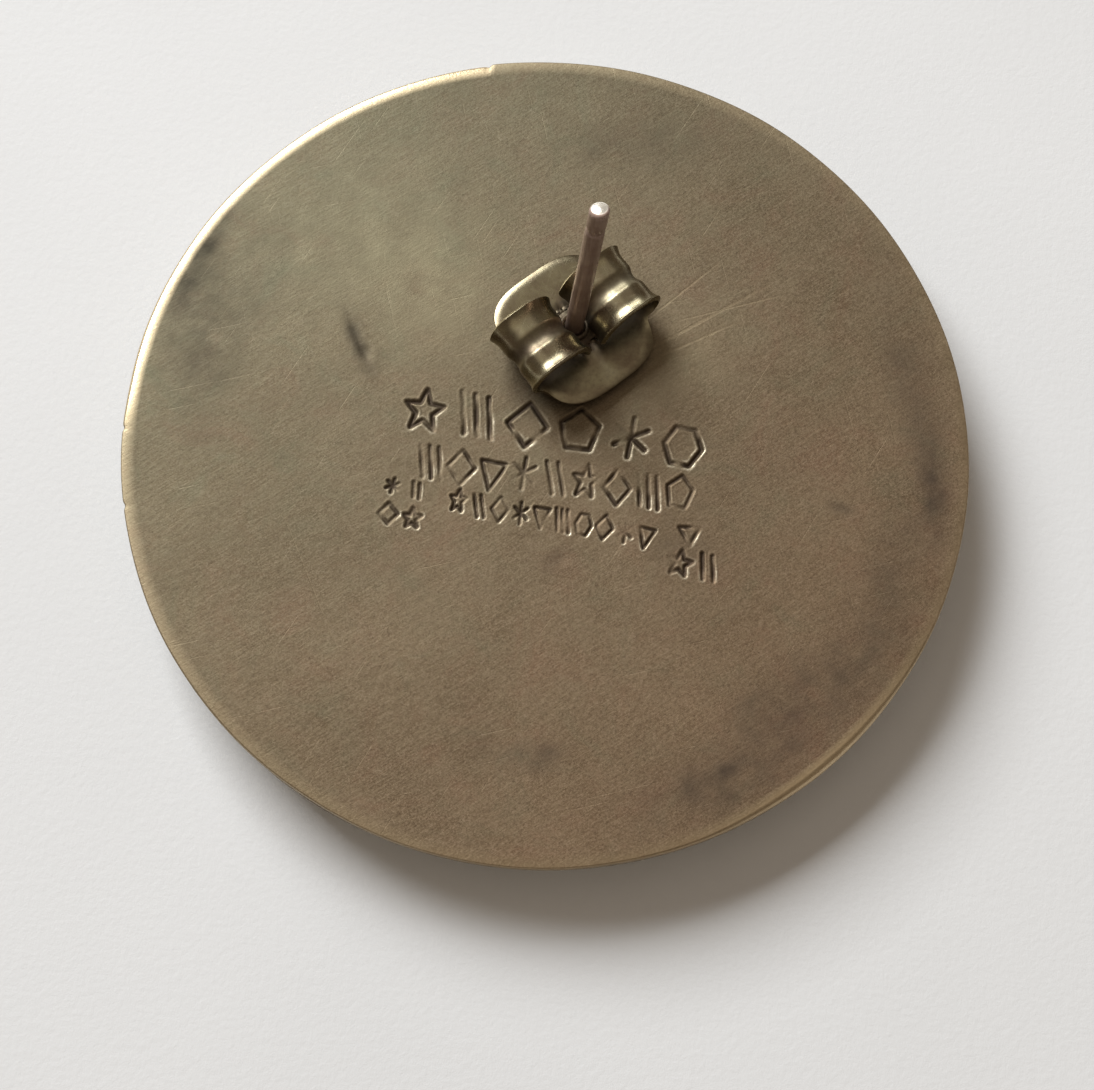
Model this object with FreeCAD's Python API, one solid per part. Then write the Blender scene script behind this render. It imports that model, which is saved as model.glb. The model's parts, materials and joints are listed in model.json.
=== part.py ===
"""A round silver stud earring lying face down, with its ear post and butterfly ear nut.

The earring is a hollow form: a low domed front shell is soldered to a flat back plate. A straight wire
post stands on the back plate, above its middle, and a one-piece sprung sheet nut slides on the post.
Units are millimetres. The origin is on the surface the dome rests on, under the centre of the disc,
and +Z points up out of the back plate.
"""
import FreeCAD, Part
import math
import os

from FreeCAD import Base

# The hollow disc.
DISC_RADIUS = 17.0
DOME_RISE = 2.4
SHELL_THICKNESS = 0.4
RIM_SOLDER_THICKNESS = 0.06
PLATE_THICKNESS = 0.6
PLATE_EDGE_ROUNDING = 0.15

# The ear post: a wire butt-soldered to the back plate, leaning a little away from square.
POST_RADIUS = 0.375
POST_LENGTH = 11.4
POST_FOOT_X = 0.66
POST_FOOT_Y = 4.74
POST_LEAN_X_DEG = 2.8
POST_LEAN_Y_DEG = 1.8
POST_TIP_ROUNDING = 0.3
GROOVE_BELOW_TIP = 1.6
GROOVE_RADIUS = 0.78
GROOVE_DEPTH = 0.06
POST_SOLDER_HEIGHT = 0.32
POST_SOLDER_SPREAD = 0.55
POST_SOLDER_INNER_RADIUS = 0.225
POST_SOLDER_TOP_RADIUS = 0.425

# The ear nut: one piece of sheet with an oval base and two scrolled wings.
NUT_HEIGHT_ON_POST = 0.42
NUT_TURN_DEG = 43.0
NUT_BORE_CLEARANCE = 0.04
NUT_BASE_LENGTH = 5.2
NUT_BASE_WIDTH = 5.85
NUT_BASE_CORNER = 1.5
NUT_BASE_THICKNESS = 0.24
NUT_EDGE_ROUNDING = 0.17
COLLAR_WALL = 0.2
COLLAR_HEIGHT = 0.28
WING_WIDTH = 2.84
WING_THICKNESS = 0.2
WING_REACH = 3.3
WING_TOP = 2.2
WING_END_GAP = 0.2
WING_END_DROP = 0.1
WING_FLAT_TOP = 0.6
WING_ROOT = 1.3
WING_FLARE = 0.15
FLUTE_HALF_WIDTH = 0.5
FLUTE_DEPTH = 0.3

PLATE_BOTTOM = DOME_RISE + RIM_SOLDER_THICKNESS
PLATE_TOP = PLATE_BOTTOM + PLATE_THICKNESS
Z_AXIS = Base.Vector(0, 0, 1)


def point(x, y, z):
    return Base.Vector(x, y, z)


def revolved(outline):
    """Turn a closed outline of (radius, height) points about the Z axis."""
    corners = [point(r, 0, z) for r, z in outline]
    face = Part.Face(Part.makePolygon(corners + corners[:1]))
    return face.revolve(point(0, 0, 0), Z_AXIS, 360)


def dome_sphere_radius(rise, half_width):
    return (half_width ** 2 + rise ** 2) / (2 * rise)


def front_shell():
    """A low spherical dome of even thickness, apex down, with its rim filed flat for soldering."""
    outer_radius = dome_sphere_radius(DOME_RISE, DISC_RADIUS)
    inner_radius = outer_radius - SHELL_THICKNESS
    centre = point(0, 0, outer_radius)
    skin = Part.makeSphere(outer_radius, centre).cut(Part.makeSphere(inner_radius, centre))
    below_rim = Part.makeCylinder(DISC_RADIUS + 1, DOME_RISE + 1, point(0, 0, -1), Z_AXIS)
    return skin.common(below_rim)


def rim_land_radius():
    """Where the dome's inner skin meets the filed rim."""
    outer_radius = dome_sphere_radius(DOME_RISE, DISC_RADIUS)
    inner_radius = outer_radius - SHELL_THICKNESS
    return math.sqrt(inner_radius ** 2 - (outer_radius - DOME_RISE) ** 2)


def rim_solder():
    """The ring of solder between the dome's filed rim and the back plate."""
    base = point(0, 0, DOME_RISE)
    ring = Part.makeCylinder(DISC_RADIUS, RIM_SOLDER_THICKNESS, base, Z_AXIS)
    hole = Part.makeCylinder(rim_land_radius(), RIM_SOLDER_THICKNESS, base, Z_AXIS)
    return ring.cut(hole)


def back_plate():
    """The flat back sheet, its outer edge rounded over by filing."""
    plate = Part.makeCylinder(DISC_RADIUS, PLATE_THICKNESS, point(0, 0, PLATE_BOTTOM), Z_AXIS)
    top_edges = [e for e in plate.Edges if e.BoundBox.ZMin > PLATE_TOP - 0.01]
    return plate.makeFillet(PLATE_EDGE_ROUNDING, top_edges)


def post_placement():
    """From the post's own frame, foot at the origin and +Z along the wire, to the earring's frame."""
    lean = point(math.tan(math.radians(POST_LEAN_X_DEG)), math.tan(math.radians(POST_LEAN_Y_DEG)), 1)
    turn = Base.Rotation(Z_AXIS, lean)
    return Base.Placement(point(POST_FOOT_X, POST_FOOT_Y, PLATE_TOP), turn)


def above_plate(shape):
    """The part of a shape that stands above the back plate."""
    size = 4 * DISC_RADIUS
    room = Part.makeBox(size, size, size, point(-size / 2, -size / 2, PLATE_TOP))
    return shape.common(room)


def ear_post():
    """A straight wire with a rounded tip and a shallow notch ring near it, cut flush on the plate."""
    below = 0.2
    wire = Part.makeCylinder(POST_RADIUS, POST_LENGTH + below, point(0, 0, -below), Z_AXIS)
    tip_edges = [e for e in wire.Edges if e.BoundBox.ZMin > POST_LENGTH - 0.01]
    wire = wire.makeFillet(POST_TIP_ROUNDING, tip_edges)
    ring_radius = POST_RADIUS + GROOVE_RADIUS - GROOVE_DEPTH
    groove_centre = point(0, 0, POST_LENGTH - GROOVE_BELOW_TIP)
    wire = wire.cut(Part.makeTorus(ring_radius, GROOVE_RADIUS, groove_centre, Z_AXIS))
    wire.Placement = post_placement()
    return above_plate(wire)


def post_solder():
    """The concave collar of solder that holds the post's foot."""
    steps = 8
    inner = POST_SOLDER_INNER_RADIUS
    top_radius = POST_SOLDER_TOP_RADIUS
    outline = [(inner, 0), (top_radius + POST_SOLDER_SPREAD, 0)]
    for i in range(1, steps + 1):
        turn = math.pi / 2 * i / steps
        radius = top_radius + POST_SOLDER_SPREAD * (1 - math.sin(turn))
        height = POST_SOLDER_HEIGHT * (1 - math.cos(turn))
        outline.append((radius, height))
    outline.append((inner, POST_SOLDER_HEIGHT))
    collar = revolved(outline)
    collar.translate(point(POST_FOOT_X, POST_FOOT_Y, PLATE_TOP))
    wire = Part.makeCylinder(POST_RADIUS, POST_LENGTH, point(0, 0, -1), Z_AXIS)
    wire.Placement = post_placement()
    return collar.cut(wire)


def rounded_slab(length, width, corner, thickness):
    """A rounded rectangle centred on Z, with its bottom at height 0."""
    slab = Part.makeBox(length, width, thickness, point(-length / 2, -width / 2, 0))
    upright = [e for e in slab.Edges if e.BoundBox.ZLength > thickness / 2]
    return slab.makeFillet(corner, upright)


def nut_base():
    """The nut's oval base plate, its upper edge turned down, with a drawn collar round the bore."""
    slab = rounded_slab(NUT_BASE_LENGTH, NUT_BASE_WIDTH, NUT_BASE_CORNER, NUT_BASE_THICKNESS)
    rim = [e for e in slab.Edges if e.BoundBox.ZMin > NUT_BASE_THICKNESS - 0.01]
    slab = slab.makeFillet(NUT_EDGE_ROUNDING, rim)
    collar_radius = POST_RADIUS + NUT_BORE_CLEARANCE + COLLAR_WALL
    height = NUT_BASE_THICKNESS + COLLAR_HEIGHT
    collar = Part.makeCylinder(collar_radius, height, point(0, 0, 0), Z_AXIS)
    return slab.fuse(collar)


def wing_path(samples):
    """Points and inward normals (along, up) of a wing's middle line, from the base to its free end.

    The strip leaves the base flat, turns up and over in a half circle, runs in along a short flat top,
    and turns down beside the post.
    """
    half = WING_THICKNESS / 2
    low = NUT_BASE_THICKNESS / 2
    high = WING_TOP - half
    outer_bend = (high - low) / 2
    bend_start = WING_REACH - half - outer_bend
    top_end = bend_start - WING_FLAT_TOP
    inner_bend = top_end - (WING_END_GAP + half)
    lengths = [
        bend_start - WING_ROOT,
        math.pi * outer_bend,
        WING_FLAT_TOP,
        math.pi / 2 * inner_bend,
        WING_END_DROP,
    ]
    total = sum(lengths)
    path = []
    for i in range(samples + 1):
        s = total * i / samples
        if s <= lengths[0]:
            path.append((WING_ROOT + s, low, 0, 1, i / samples))
            continue
        s -= lengths[0]
        if s <= lengths[1]:
            turn = s / outer_bend
            across = bend_start + outer_bend * math.sin(turn)
            up = low + outer_bend * (1 - math.cos(turn))
            path.append((across, up, -math.sin(turn), math.cos(turn), i / samples))
            continue
        s -= lengths[1]
        if s <= lengths[2]:
            path.append((bend_start - s, high, 0, -1, i / samples))
            continue
        s -= lengths[2]
        if s <= lengths[3]:
            turn = s / inner_bend
            across = top_end - inner_bend * math.sin(turn)
            up = high - inner_bend * (1 - math.cos(turn))
            path.append((across, up, math.sin(turn), -math.cos(turn), i / samples))
            continue
        s -= lengths[3]
        path.append((WING_END_GAP + half, high - inner_bend - s, 1, 0, i / samples))
    return path


def flute_depth(across, along):
    """How far the wing's middle is pressed in from its two edges, growing from nothing at the base.

    The wing dips gently from its edges and then more deeply along the groove that hugs the post.
    """
    start = 0.2
    full = 0.45
    growth = min(max((along - start) / (full - start), 0.0), 1.0)
    growth = growth * growth * (3 - 2 * growth)
    if abs(across) >= FLUTE_HALF_WIDTH:
        to_edge = (abs(across) - FLUTE_HALF_WIDTH) / (WING_WIDTH / 2 - FLUTE_HALF_WIDTH)
        return WING_FLARE * growth * (1 - to_edge)
    groove = (1 + math.cos(math.pi * across / FLUTE_HALF_WIDTH)) / 2
    return growth * (WING_FLARE + (FLUTE_DEPTH - WING_FLARE) * groove)


def wing_section(across, path):
    """The strip's closed outline in one upright plane."""
    half = WING_THICKNESS / 2
    outer = []
    inner = []
    for a, z, na, nz, along in path:
        depth = flute_depth(across, along)
        outer.append(point(a + na * (depth - half), across, z + nz * (depth - half)))
        inner.append(point(a + na * (depth + half), across, z + nz * (depth + half)))
    outer_edge = Part.BSplineCurve()
    outer_edge.interpolate(outer)
    inner_edge = Part.BSplineCurve()
    inner_edge.interpolate(inner[::-1])
    edges = [
        outer_edge.toShape(),
        Part.makeLine(outer[-1], inner[-1]),
        inner_edge.toShape(),
        Part.makeLine(inner[0], outer[0]),
    ]
    return Part.Wire(edges)


def nut_wing():
    """One scrolled wing on the +X side, fluted along its middle so that it hugs the post."""
    samples = 44
    path = wing_path(samples)
    half_width = WING_WIDTH / 2
    flute_steps = 10
    stations = [-half_width]
    stations += [FLUTE_HALF_WIDTH * (2 * i / flute_steps - 1) for i in range(flute_steps + 1)]
    stations.append(half_width)
    sections = [wing_section(across, path) for across in stations]
    return Part.makeLoft(sections, True, True)


def ear_nut():
    """The whole nut in its own frame, then seated on the post."""
    wing = nut_wing()
    other_wing = wing.copy()
    other_wing.rotate(point(0, 0, 0), Z_AXIS, 180)
    nut = nut_base().fuse([wing, other_wing])
    bore_radius = POST_RADIUS + NUT_BORE_CLEARANCE
    bore_height = NUT_BASE_THICKNESS + COLLAR_HEIGHT + 1
    nut = nut.cut(Part.makeCylinder(bore_radius, bore_height, point(0, 0, -0.5), Z_AXIS))
    nut = nut.removeSplitter()
    nut.rotate(point(0, 0, 0), Z_AXIS, NUT_TURN_DEG)
    nut.translate(point(0, 0, NUT_HEIGHT_ON_POST))
    nut.Placement = post_placement().multiply(nut.Placement)
    return nut


NODES = {
    "front_shell": front_shell,
    "rim_solder": rim_solder,
    "back_plate": back_plate,
    "ear_post": ear_post,
    "post_solder": post_solder,
    "ear_nut": ear_nut,
}

os.makedirs("parts", exist_ok=True)
for name, make in NODES.items():
    shape = make()
    if shape.ShapeType != "Solid" and len(shape.Solids) == 1:
        shape = shape.Solids[0]
    box = shape.BoundBox
    print(f"{name}: solids {len(shape.Solids)}, valid {shape.isValid()}, volume {shape.Volume:.4f}")
    print(f"    x {box.XMin:.3f} to {box.XMax:.3f}, y {box.YMin:.3f} to {box.YMax:.3f}")
    print(f"    z {box.ZMin:.3f} to {box.ZMax:.3f}")
    shape.exportStep(f"parts/{name}.step")
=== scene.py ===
"""The looks of the stud earring: a tarnished silver disc lying face down, its post and its butterfly nut.

Lengths in this script are millimetres unless a name says otherwise; MM turns them into Blender's metres.
The frame gives the disc's size, the post's axis and the heights of the sheets.
"""

import json
import math

import bpy
import numpy as np
from mathutils import Matrix, Vector


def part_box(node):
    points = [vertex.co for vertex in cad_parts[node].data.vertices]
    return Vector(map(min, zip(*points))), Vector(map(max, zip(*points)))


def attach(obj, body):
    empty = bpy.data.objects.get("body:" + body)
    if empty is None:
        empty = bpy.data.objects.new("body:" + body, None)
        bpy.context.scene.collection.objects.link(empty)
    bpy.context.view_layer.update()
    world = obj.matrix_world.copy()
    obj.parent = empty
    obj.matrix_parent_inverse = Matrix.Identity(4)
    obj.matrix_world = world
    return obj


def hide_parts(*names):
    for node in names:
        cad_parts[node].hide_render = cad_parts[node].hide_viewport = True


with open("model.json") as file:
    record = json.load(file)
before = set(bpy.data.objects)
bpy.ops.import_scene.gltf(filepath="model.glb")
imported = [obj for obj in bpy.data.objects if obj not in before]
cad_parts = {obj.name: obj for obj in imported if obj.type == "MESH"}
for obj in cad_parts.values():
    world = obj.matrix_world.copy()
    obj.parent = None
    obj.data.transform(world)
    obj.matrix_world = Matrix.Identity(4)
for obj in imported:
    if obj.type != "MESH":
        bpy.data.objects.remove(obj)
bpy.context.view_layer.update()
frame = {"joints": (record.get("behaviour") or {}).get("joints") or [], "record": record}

MM = 0.001

# ---- Sizes read from the frame -------------------------------------------------------------------

plate_low, plate_high = (Vector(corner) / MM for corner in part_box("back_plate"))
shell_low, shell_high = (Vector(corner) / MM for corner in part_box("front_shell"))
post_high = Vector(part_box("ear_post")[1]) / MM
DISC_R = plate_high.x
PLATE_TOP = plate_high.z
PLATE_BOTTOM = plate_low.z
DOME_RISE = shell_high.z
POST_AXIS = Vector(frame["joints"][0]["axis"]).normalized()
POST_MOUNT = next(m for m in frame["record"]["mounts"] if m["name"] == "ear_post")
POST_R = POST_MOUNT["dims"]["r_mm"]
MOUNT_POINT = Vector(POST_MOUNT["pos_m"]) / MM
POST_FOOT = MOUNT_POINT - POST_AXIS * ((MOUNT_POINT.z - PLATE_TOP) / POST_AXIS.z)
POST_LENGTH = (post_high.z - PLATE_TOP) / POST_AXIS.z

# ---- Sizes of the details ------------------------------------------------------------------------

SHELL_T = 0.4
# The plate's top lies a little under the CAD top, which leaves room for the raised lips of the marks.
PLATE_SINK = 0.03
# The rim has a filed bevel from the top round to the left, and a broad band of rounding lower right; both
# are painted lighter, partly as filed silver and partly as painted reflection of the window and the lit
# paper.
# Headings and the lower-right band's spread are in degrees, anticlockwise from +X.
RIM_INSET = 0.022
RIM_ROUNDING = 0.075
BEVEL_WIDTH = 0.2
BEVEL_FADES_IN = (102.2, 103.2)
BEVEL_FADES_OUT = (176.0, 186.0)
LOWER_RIGHT_BAND_HEADING = 316.0
LOWER_RIGHT_BAND_SPREAD = 17.0
LOWER_RIGHT_BAND_WIDTH = 0.32
# Each nick: heading in degrees, half-width in radians.
NICKS = ((-166, 0.007), (-177, 0.006), (103, 0.006))
NICK_DEPTH = 0.07
SEAM_INSET = 0.11
SEAM_HALF_WIDTH = 0.07
SEAM_HALF_HEIGHT = 0.055
WIRE_R = POST_R - 0.002
GROOVE_BELOW_TIP = 1.6
GROOVE_DEPTH = 0.06
GROOVE_HALF_LENGTH = 0.17
# Each scar round the wire: height above the foot, depth, half-length.
SCARS = ((5.2, 0.006, 0.12), (7.4, 0.004, 0.08))
TIP_ALLOWANCE = 0.11
TIP_CROWN = 0.035
TIP_EDGE_ROUNDING = 0.13
TIP_CUT_HEADING = math.radians(138)
TIP_CUT_SLOPE = 0.27
FILLET_GAP = 0.05
FILLET_SPREAD = 0.55
FILLET_HEIGHT = 0.3
NUT_HEIGHT = 0.42
NUT_TURN = math.radians(43.0)
NUT_BASE_HALF_LENGTH = 2.6
NUT_BASE_HALF_WIDTH = 2.925
NUT_BASE_DROP = 0.08
NUT_SHEET = 0.2
NUT_BORE_R = POST_R + 0.04
# Half-width of the square that the collar is drawn from, and the collar's rows: outside its wall, height.
COLLAR_BLOCK = 0.85
COLLAR_ROWS = ((0.3, 0.12), (0.16, 0.13), (0.07, 0.17), (0.015, 0.25), (0.0, 0.36), (0.0, 0.5))
# The base's outline is a superellipse of this power.
OVAL = 3.3
WING_LOW = 0.12
WING_CORNER = 0.3
WING_HALF_WIDTH = 1.42
WING_REACH = 3.3
WING_TOP = 2.2
WING_END_GAP = 0.2
WING_END_DROP = 0.1
WING_FLAT_TOP = 0.45
FLUTE_HALF_WIDTH = 0.42
FLUTE_DEPTH = 0.31
WING_FLARE = 0.17
NUT_BLANK_HALF_LENGTH = NUT_BASE_HALF_LENGTH + 0.12

# ---- The room ------------------------------------------------------------------------------------

ROOM_LOW = (0.185, 0.145, 0.11, 1)
ROOM_HIGH = (0.135, 0.113, 0.092, 1)
CEILING = (0.49, 0.425, 0.36, 1)
WINDOW_DIRECTION = (-0.503, 0.600, 0.6225)
WINDOW_DISTANCE = 700
WINDOW_WIDTH = 400
WINDOW_HEIGHT = 370
WINDOW_POWER = 6.4
WINDOW_COLOUR = (0.95, 0.98, 1.02)
PAPER_HALF_SIZE = 1500.0
CAMERA_ELEVATION = math.radians(74.23)
CAMERA_ROLL = math.radians(4.9)
CAMERA_PLACE = Vector((0.36, -26.78, PLATE_TOP + 79.82))
SENSOR_WIDTH = 36
LENS = 69.1042


# ---- Meshes --------------------------------------------------------------------------------------

def new_piece(name, points, faces, body, nodes, layers=None):
    """A smooth mesh from points in millimetres, riding on a body in place of CAD nodes."""
    mesh = bpy.data.meshes.new(name)
    mesh.from_pydata((np.asarray(points) * MM).tolist(), [], faces)
    mesh.validate()
    mesh.polygons.foreach_set("use_smooth", [True] * len(mesh.polygons))
    for layer, values in (layers or {}).items():
        attribute = mesh.attributes.new(layer, "FLOAT", "POINT")
        attribute.data.foreach_set("value", np.asarray(values, dtype=np.float32))
    mesh.update()
    piece = bpy.data.objects.new(name, mesh)
    bpy.context.scene.collection.objects.link(piece)
    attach(piece, body)
    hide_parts(*nodes)
    return piece


def ring_faces(rows, count):
    """Quads between consecutive closed rows of count points each."""
    faces = []
    for row in range(rows - 1):
        base = row * count
        for i in range(count):
            j = (i + 1) % count
            faces.append((base + i, base + j, base + count + j, base + count + i))
    return faces


def lathe(profile, count):
    """Points and faces of a profile turned about Z, left open at its two ends."""
    angles = np.linspace(0, 2 * math.pi, count, endpoint=False)
    points = []
    for radius, height in profile:
        points += [(radius * math.cos(a), radius * math.sin(a), height) for a in angles]
    return points, ring_faces(len(profile), count)


def close_loop(faces, rows, count):
    """Join the last row of a lathed ring back to its first."""
    last = (rows - 1) * count
    for i in range(count):
        j = (i + 1) % count
        faces.append((last + i, last + j, j, i))
    return faces


def cap(points, faces, start, count, centre, flip):
    """Close one row of a body with a fan to a centre point."""
    points.append(centre)
    middle = len(points) - 1
    for i in range(count):
        j = (i + 1) % count
        faces.append((start + j, start + i, middle) if flip else (start + i, start + j, middle))


def smoothstep(low, high, value):
    """0 below low, 1 above high, and a smooth ramp between."""
    t = np.clip((value - low) / (high - low), 0, 1)
    return t * t * (3 - 2 * t)


def waves(x, y, seed, count, longest, shortest):
    """A smooth random height field of unit size: a sum of plane waves."""
    random = np.random.default_rng(seed)
    total = np.zeros_like(x)
    for _ in range(count):
        length = longest * (shortest / longest) ** random.random()
        heading = random.random() * 2 * math.pi
        phase = random.random() * 2 * math.pi
        total += np.sin((x * math.cos(heading) + y * math.sin(heading)) * 2 * math.pi / length + phase)
    return total / math.sqrt(count)


# ---- Punched marks on the back plate -------------------------------------------------------------

def ring_of(corners, radius, turn=0.0):
    """A closed outline of equally spaced corners."""
    angles = [turn + 2 * math.pi * i / corners for i in range(corners + 1)]
    return [(radius * math.cos(a), radius * math.sin(a)) for a in angles]


def star_outline():
    """A five-pointed star."""
    radii = [0.5, 0.22]
    angles = [math.pi / 2 + math.pi * i / 5 for i in range(11)]
    return [(radii[i % 2] * math.cos(a), radii[i % 2] * math.sin(a)) for i, a in enumerate(angles)]


def slanted_bars(places):
    """Slanted strokes side by side."""
    return [[(x - 0.14, 0.46), (x + 0.14, -0.46)] for x in places]


def rays(count):
    """Crossing lines through the middle."""
    lines = []
    for i in range(count):
        a = math.pi * (i + 0.5) / count
        lines.append([(-0.45 * math.cos(a), -0.45 * math.sin(a)), (0.45 * math.cos(a), 0.45 * math.sin(a))])
    return lines


LOZENGE = [ring_of(4, 0.5)]
HEXAGON = [ring_of(6, 0.48)]
STAR = [star_outline()]
PENTAGON = [ring_of(5, 0.5, math.pi / 2)]
WEDGE = [ring_of(3, 0.55, -math.pi / 2)]
ASTERISK = rays(3)
TWO_SLANTED = slanted_bars([-0.2, 0.22])
THREE_SLANTED = slanted_bars([-0.34, 0.0, 0.34])

# Each row: first mark's centre, last mark's centre, mark height, mark width, stroke half-width, marks.
PUNCH_ROWS = [
    ((-5.0, 0.98), (5.45, 0.34), 1.85, 1.6, 0.095,
     [STAR, THREE_SLANTED, LOZENGE, PENTAGON, ASTERISK, HEXAGON]),
    ((-4.55, -1.2), (5.45, -1.65), 1.45, 1.08, 0.075,
     [THREE_SLANTED, LOZENGE, WEDGE, ASTERISK, TWO_SLANTED, STAR, LOZENGE, THREE_SLANTED, PENTAGON]),
    ((-3.3, -2.75), (4.25, -3.4), 1.02, 0.66, 0.06,
     [STAR, TWO_SLANTED, LOZENGE, ASTERISK, WEDGE, THREE_SLANTED, HEXAGON, LOZENGE, ASTERISK, WEDGE]),
    ((-5.95, -2.35), (-5.0, -2.5), 0.66, 0.6, 0.07, [ASTERISK, TWO_SLANTED]),
    ((-6.0, -3.55), (-5.05, -3.55), 0.85, 0.74, 0.08, [LOZENGE, STAR]),
    ((5.95, -3.3), (6.0, -3.3), 0.9, 0.85, 0.075, [WEDGE]),
    ((5.65, -4.45), (6.75, -4.6), 1.1, 1.0, 0.08, [STAR, TWO_SLANTED]),
]
PUNCH_DEPTH = 0.07
LIP_HEIGHT = 0.012


def segment_distance(x, y, start, end):
    """Distance from points to one straight stroke."""
    dx, dy = end[0] - start[0], end[1] - start[1]
    along = np.clip(((x - start[0]) * dx + (y - start[1]) * dy) / (dx * dx + dy * dy), 0, 1)
    return np.hypot(x - start[0] - along * dx, y - start[1] - along * dy)


def punched(x, y):
    """Height change, dirt and worn lips of the punched marks at plate points, with a glint painted on each
    lip's lower-right side.
    """
    height = np.zeros_like(x)
    grime_and_shade = np.zeros_like(x)
    lip_polish_and_glint = np.zeros_like(x)
    wear = waves(x, y, 12, 16, 2.4, 0.6)
    random = np.random.default_rng(11)
    for first, last, tall, wide, stroke, marks in PUNCH_ROWS:
        heading = math.atan2(last[1] - first[1], last[0] - first[0])
        for i, mark in enumerate(marks):
            share = i / max(len(marks) - 1, 1)
            cx = first[0] + (last[0] - first[0]) * share
            cy = first[1] + (last[1] - first[1]) * share + random.uniform(-0.08, 0.08)
            turn = heading + random.uniform(-0.1, 0.1)
            force = random.uniform(0.75, 1.1)
            uneven = random.uniform(-0.5, 0.5, 2)
            near = (np.abs(x - cx) < tall) & (np.abs(y - cy) < tall)
            px, py = x[near], y[near]
            lx = ((px - cx) * math.cos(turn) + (py - cy) * math.sin(turn)) / wide
            ly = (-(px - cx) * math.sin(turn) + (py - cy) * math.cos(turn)) / tall
            distance = np.full_like(px, 9.0)
            for line in mark:
                for start, end in zip(line[:-1], line[1:]):
                    a = (start[0] * wide, start[1] * tall)
                    b = (end[0] * wide, end[1] * tall)
                    distance = np.minimum(distance, segment_distance(lx * wide, ly * tall, a, b))
            strength = force * np.clip(1 + uneven[0] * lx + uneven[1] * ly, 0.45, 1.3)
            worn = strength * np.clip(0.9 + 0.75 * wear[near], 0.12, 1.3)
            floor = 1 - smoothstep(0.3 * stroke, 1.3 * stroke, distance)
            lip = np.exp(-((distance - 1.7 * stroke) / (0.4 * stroke)) ** 2)
            height[near] = np.minimum(height[near], 0) - PUNCH_DEPTH * worn * floor + LIP_HEIGHT * worn * lip
            grime_and_shade[near] = np.maximum(grime_and_shade[near], floor * np.clip(worn, 0, 1))
            # A glint painted on each lip's lower-right side, the side lit by the window: painted highlight
            # over the lip's real polish.
            outward = (lx * wide * math.cos(turn) - ly * tall * math.sin(turn)) * 0.6
            outward -= (lx * wide * math.sin(turn) + ly * tall * math.cos(turn)) * 0.8
            lower_side = np.clip(0.35 + outward / (0.5 * tall), 0, 1)
            lip_polish_and_glint[near] = np.maximum(lip_polish_and_glint[near], lip * lower_side * np.clip(worn - 0.35, 0, 1))
    return height, grime_and_shade, lip_polish_and_glint


# ---- Wear, dents, stains and painted sheen of the back plate -------------------------------------

# Each: centre x, y, half-length, half-width, heading in degrees, strength.
DENTS = [
    (-8.0, 3.8, 0.95, 0.16, 118, 0.055),
    (-7.62, 3.2, 0.34, 0.24, 120, 0.06),
    (-12.66, 9.45, 0.4, 0.3, 20, 0.02),
    (0.95, -4.75, 0.42, 0.3, 30, 0.02),
    (11.86, -1.7, 0.35, 0.18, 170, 0.02),
]
STAINS = [
    (-14.9, 7.1, 1.9, 0.55, 62, 0.95),
    (-15.1, 5.4, 1.5, 0.5, 75, 0.5),
    (-14.3, 2.6, 2.6, 1.3, 95, 0.38),
    (-13.2, 5.0, 2.2, 1.6, 60, 0.28),
    (15.5, 0.0, 2.0, 0.5, 92, 0.95),
    (14.6, 3.6, 3.2, 0.9, 105, 0.45),
    (13.9, -4.6, 3.4, 1.3, 70, 0.42),
    (11.2, -9.6, 3.6, 1.3, 45, 0.6),
    (7.6, -13.2, 2.6, 1.1, 25, 0.6),
    (9.3, -9.9, 1.8, 0.9, 40, 0.38),
    (0.6, -12.7, 1.2, 0.5, 5, 0.42),
    (-1.6, -12.5, 1.0, 0.5, 160, 0.25),
    (0.9, -4.9, 0.8, 0.5, 20, 0.32),
    (11.9, -1.7, 0.45, 0.25, 170, 0.6),
    (-7.9, 3.5, 1.2, 0.35, 118, 0.7),
    (5.9, -4.0, 1.2, 0.9, 0, 0.3),
    (2.8, 13.5, 3.4, 1.2, 8, 0.28),
    (-0.5, 1.9, 1.3, 0.8, 30, 0.35),
    (3.0, 6.5, 1.0, 0.7, 70, 0.3),
]
# Pale patches painted into the plate's colour: painted sheen of the window light.
PAINTED_SHEEN_PATCHES = [
    (-5.2, 5.8, 2.6, 3.3, 80, 0.6),
    (-6.2, 8.2, 3.5, 2.2, 20, 0.4),
    (5.0, 4.0, 2.6, 1.5, 30, 0.5),
    (-9.5, 9.5, 4.5, 2.6, 40, 0.3),
]
# Each: start, end, half-width.
SCRATCHES = [
    ((3.6, 4.2), (8.9, 7.9), 0.09),
    ((3.9, 3.9), (7.4, 5.9), 0.07),
    ((4.6, 5.6), (9.6, 7.4), 0.05),
    ((3.2, 5.2), (6.6, 8.6), 0.06),
    ((-10.4, -3.4), (-7.6, -8.8), 0.03),
    ((7.6, -4.2), (12.6, -7.8), 0.03),
    ((-12.6, -6.6), (-9.6, -9.9), 0.03),
]


def blob(x, y, patch):
    """A soft oval patch, 1 in its middle."""
    cx, cy, long, short, heading, strength = patch
    a = math.radians(heading)
    u = ((x - cx) * math.cos(a) + (y - cy) * math.sin(a)) / long
    v = (-(x - cx) * math.sin(a) + (y - cy) * math.cos(a)) / short
    return strength * np.exp(-(u * u + v * v))


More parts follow.
